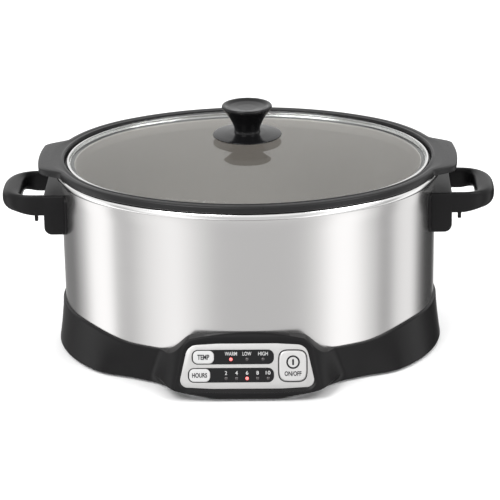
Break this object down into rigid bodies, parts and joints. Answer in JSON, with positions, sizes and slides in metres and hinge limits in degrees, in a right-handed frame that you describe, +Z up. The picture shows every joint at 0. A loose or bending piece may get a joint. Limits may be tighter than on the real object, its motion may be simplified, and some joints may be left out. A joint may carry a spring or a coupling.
{
  "type": "slow cooker",
  "caption": "Oval electric slow cooker with a lift-out pot, domed glass lid, loop side handles and a push-button front console.",
  "frame": {"origin": "bottom centre of the whole object's box, on the plane that the feet stand on", "axes": "+X along the long way of the oval, to the right seen from the front; -Y towards the console; +Z up"},
  "size_m": [0.4512, 0.3085, 0.2241],
  "materials": {
    "black_moulding": "satin moulded black",
    "zinc_sheet": "zinc plated sheet",
    "foot_rubber": "matt",
    "screw_steel": "plated",
    "brushed_housing": "brushed stainless steel",
    "polished_well": "polished stainless steel",
    "mica": "mica sheet",
    "ceramic": "plain",
    "sensor_alloy": "turned",
    "silver_fascia": "fine satin silver",
    "window_black": "dark display window",
    "lamp_red": "clear red lamp",
    "circuit_green": "circuit board",
    "circuit_brown": "circuit board",
    "relay_blue": "moulded",
    "wire_insulation": "silicone insulation",
    "gland_black": "moulded",
    "key_silver": "pale satin keys",
    "pot_coating": "dark satin non-stick coating on cast aluminium",
    "lid_glass": "clear tempered glass",
    "knob_gloss": "gloss black",
    "washer_silicone": "silicone"
  },
  "bodies": {
    "heating_base": {"base_skirt": "black_moulding", "bottom_plate": "zinc_sheet", "rubber_feet": "foot_rubber", "base_screws": "screw_steel", "outer_shell": "brushed_housing", "heating_well": "polished_well", "heater_band": "mica", "heater_clamp": "zinc_sheet", "clamp_bolt": "screw_steel", "thermal_fuse": "ceramic", "well_sensor": "sensor_alloy", "sensor_bracket": "zinc_sheet", "heat_shield": "zinc_sheet", "plate_spacers": "sensor_alloy", "well_spacers": "sensor_alloy", "well_bolts": "screw_steel", "well_nuts": "screw_steel", "left_handle": "black_moulding", "right_handle": "black_moulding", "handle_screws": "screw_steel", "handle_backing_plates": "zinc_sheet", "panel_fascia": "silver_fascia", "temp_window": "window_black", "hours_window": "window_black", "temp_lamps": "lamp_red", "hours_lamps": "lamp_red", "control_board": "circuit_green", "tact_switches": "black_moulding", "board_screws": "screw_steel", "power_board": "circuit_brown", "power_relay": "relay_blue", "power_board_screws": "screw_steel", "wiring_loom": "wire_insulation", "cord_gland": "gland_black", "gland_nut": "gland_black"},
    "pot": {"cooking_pot": "pot_coating"},
    "lid": {"lid_glass": "lid_glass", "lid_rim_band": "polished_well", "knob_collar": "knob_gloss", "lid_knob": "knob_gloss", "knob_screw": "screw_steel", "knob_washer": "washer_silicone"},
    "temp_key": {"temp_button": "key_silver"},
    "hours_key": {"hours_button": "key_silver"},
    "power_key": {"power_button": "key_silver"}
  },
  "joints": [
    {"name": "pot_lift", "type": "slide", "parent": "heating_base", "child": "pot", "axis": [0, 0, 1], "range_m": [0, 0.25]},
    {"name": "lid_lift", "type": "slide", "parent": "pot", "child": "lid", "axis": [0, 0, 1], "range_m": [0, 0.2]},
    {"name": "temp_key_travel", "type": "slide", "parent": "heating_base", "child": "temp_key", "axis": [0, 0.9272, -0.3746], "range_m": [0, 0.0006], "stiffness_N_per_m": 1500, "springref_m": -0.0005},
    {"name": "hours_key_travel", "type": "slide", "parent": "heating_base", "child": "hours_key", "axis": [0, 0.9272, -0.3746], "range_m": [0, 0.0006], "stiffness_N_per_m": 1500, "springref_m": -0.0005},
    {"name": "power_key_travel", "type": "slide", "parent": "heating_base", "child": "power_key", "axis": [0, 0.9272, -0.3746], "range_m": [0, 0.0006], "stiffness_N_per_m": 1500, "springref_m": -0.0005}
  ]
}
